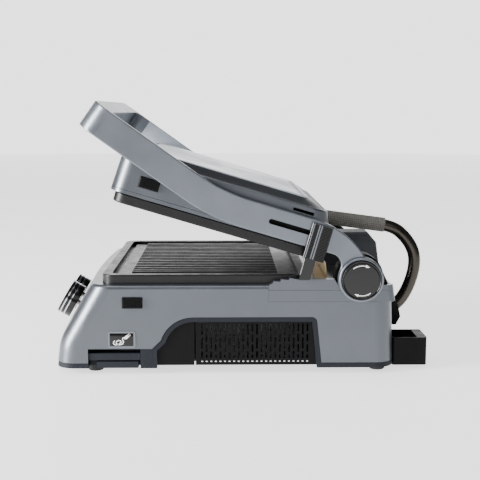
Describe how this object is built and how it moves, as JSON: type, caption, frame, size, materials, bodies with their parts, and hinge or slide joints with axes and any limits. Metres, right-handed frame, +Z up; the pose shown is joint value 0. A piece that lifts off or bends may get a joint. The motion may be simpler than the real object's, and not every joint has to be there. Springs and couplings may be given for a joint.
{
  "type": "panini press",
  "caption": "Contact grill with a ribbed lower plate, a floating ribbed lid carried on a U-shaped handle, height stop, front dials, rear grease cup and steel conduit.",
  "frame": {"origin": "on the table under the middle of the whole press's box", "axes": "+Z up, -Y towards the cook and the dials, +X the side with the height slider, the grease cup and the conduit"},
  "size_m": [0.35, 0.4439, 0.3038],
  "materials": {
    "silver_lacquer": "satin metallic silver",
    "brushed_cover": "fine brushed, light",
    "arm_metal": "satin",
    "dark_band": "satin charcoal",
    "base_plastic": "fine grain, dark blue grey",
    "black_plastic": "fine grain, black",
    "knob_plastic": "gloss black",
    "bright_trim": "polished",
    "non_stick": "non-stick coated casting",
    "steel": "drawn tube and sheet",
    "spring_steel": "bright wire",
    "sleeve": "heat-proof braid, taupe",
    "rubber": "matt",
    "ceramic": "unglazed ceramic look",
    "lamp": "red lens",
    "liner": "pale blue grey"
  },
  "bodies": {
    "base": {"base_frame": "base_plastic", "base_screws": "steel", "conduit_tube": "steel", "cord_icon_plate": "bright_trim", "cord_inlet_bush": "rubber", "cord_stores": "base_plastic", "grease_chute": "steel", "heat_shield": "steel", "hinge_axle": "steel", "hinge_bracket_left": "black_plastic", "hinge_bracket_right": "black_plastic", "housing_shell": "silver_lacquer", "indicator_lamps": "lamp", "lower_element_posts": "ceramic", "lower_grill_plate": "non_stick", "lower_heating_element": "steel", "lower_reflector": "steel", "lower_release_spring": "spring_steel", "ratchet_rail_right": "silver_lacquer", "rear_tower": "black_plastic", "rubber_feet": "rubber", "side_rail_left": "silver_lacquer", "terminal_block": "ceramic", "thermostats": "steel", "tube_socket": "black_plastic", "vent_grille_left": "black_plastic", "vent_grille_right": "black_plastic"},
    "arms": {"handle_frame": "arm_metal", "arm_liner_right": "liner", "arm_liner_left": "liner", "slot_shield": "black_plastic", "liner_screws": "steel", "hub_rings": "bright_trim", "press_spring_right": "spring_steel", "press_spring_left": "spring_steel"},
    "lid": {"lid_shell": "silver_lacquer", "lid_rim": "silver_lacquer", "lid_band": "dark_band", "lid_top_plate": "brushed_cover", "lid_pivot_pins": "steel", "upper_grill_plate": "non_stick", "upper_heating_element": "steel", "upper_reflector": "steel", "upper_element_posts": "ceramic", "conduit_sleeve": "sleeve", "upper_release_spring": "spring_steel"},
    "height_slider": {"height_slider": "black_plastic", "slider_stripes": "bright_trim", "slider_keeper": "steel"},
    "hub_button_right": {"press_button_right": "knob_plastic"},
    "hub_button_left": {"press_button_left": "knob_plastic"},
    "lower_release": {"lower_release_button": "black_plastic", "lower_latch": "steel"},
    "upper_release": {"upper_release_button": "black_plastic", "upper_latch": "steel"},
    "dial_left": {"knob_left": "knob_plastic", "knob_rings_left": "bright_trim"},
    "dial_right": {"knob_right": "knob_plastic", "knob_rings_right": "bright_trim"},
    "cup": {"grease_cup": "black_plastic"}
  },
  "joints": [
    {"name": "lid_lift", "type": "hinge", "parent": "base", "child": "arms", "pos_m": [0, 0.1357, 0.1085], "axis": [-1, 0, 0], "range_deg": [0, 70], "deforming": ["conduit_tube"]},
    {"name": "lid_float", "type": "hinge", "parent": "arms", "child": "lid", "pos_m": [0, -0.02858, 0.19471], "axis": [1, 0, 0], "range_deg": [0, 10], "deforming": ["conduit_sleeve"]},
    {"name": "height_slide", "type": "slide", "parent": "arms", "child": "height_slider", "axis": [0, -0.9588, 0.284], "range_m": [0, 0.051]},
    {"name": "hub_press_right", "type": "slide", "parent": "arms", "child": "hub_button_right", "axis": [-1, 0, 0], "range_m": [0, 0.003], "stiffness_N_per_m": 700, "deforming": ["press_spring_right"]},
    {"name": "hub_press_left", "type": "slide", "parent": "arms", "child": "hub_button_left", "axis": [1, 0, 0], "range_m": [0, 0.003], "stiffness_N_per_m": 700, "deforming": ["press_spring_left"]},
    {"name": "lower_release_press", "type": "slide", "parent": "base", "child": "lower_release", "axis": [-1, 0, 0], "range_m": [0, 0.0026], "stiffness_N_per_m": 700, "deforming": ["lower_release_spring"]},
    {"name": "upper_release_press", "type": "slide", "parent": "lid", "child": "upper_release", "axis": [-1, 0, 0], "range_m": [0, 0.0026], "stiffness_N_per_m": 700, "deforming": ["upper_release_spring"]},
    {"name": "dial_left_turn", "type": "hinge", "parent": "base", "child": "dial_left", "pos_m": [-0.0245, -0.19455, 0.05562], "axis": [0, 0.866, -0.5], "range_deg": [0, 270]},
    {"name": "dial_right_turn", "type": "hinge", "parent": "base", "child": "dial_right", "pos_m": [0.0245, -0.19455, 0.05562], "axis": [0, 0.866, -0.5], "range_deg": [0, 270]},
    {"name": "cup_pull", "type": "slide", "parent": "base", "child": "cup", "axis": [0, 1, 0], "range_m": [0, 0.06]}
  ]
}
